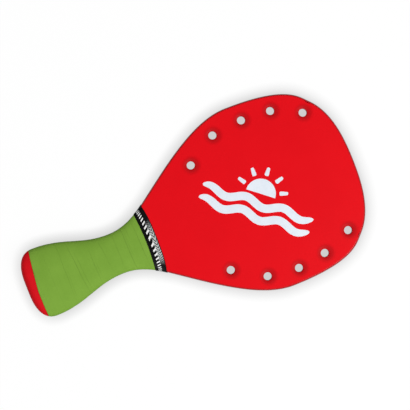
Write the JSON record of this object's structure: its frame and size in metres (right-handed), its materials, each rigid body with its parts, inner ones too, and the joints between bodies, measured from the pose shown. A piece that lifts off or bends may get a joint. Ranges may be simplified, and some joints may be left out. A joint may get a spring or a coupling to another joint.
{
  "type": "frescobol racket",
  "caption": "Flat beach bat: a rounded blade with lined air holes along its rim, on a short flared handle that is wound with overgrip tape and closed by a cap at the butt.",
  "frame": {"origin": "middle of the butt cap's flat end face", "axes": "+X along the racket from the butt to the blade's tip; +Z is the front face's outward normal; +Y completes the right-handed frame; the blade's mid-plane is z = 0"},
  "size_m": [0.44, 0.239, 0.0358],
  "materials": {
    "core_foam": "cut closed-cell foam",
    "blade_lacquer": "red lacquer on glass-fibre laminate, satin gloss",
    "scale_wood": "sanded light wood",
    "cap_rubber": "moulded red rubber, satin",
    "cushion_foam": "foam rubber",
    "overgrip_tape": "tacky polyurethane overgrip, matt green",
    "finishing_tape": "printed black plastic tape, satin"
  },
  "bodies": {
    "root": {"blade_core": "core_foam", "front_face_sheet": "blade_lacquer", "back_face_sheet": "blade_lacquer", "edge_band": "blade_lacquer", "hole_liner_01": "blade_lacquer", "hole_liner_02": "blade_lacquer", "hole_liner_03": "blade_lacquer", "hole_liner_04": "blade_lacquer", "hole_liner_05": "blade_lacquer", "hole_liner_06": "blade_lacquer", "hole_liner_07": "blade_lacquer", "hole_liner_08": "blade_lacquer", "hole_liner_09": "blade_lacquer", "hole_liner_10": "blade_lacquer", "handle_scale_front": "scale_wood", "handle_scale_back": "scale_wood", "butt_cap": "cap_rubber", "cushion_wrap": "cushion_foam", "overgrip": "overgrip_tape", "finishing_tape": "finishing_tape"}
  },
  "joints": []
}
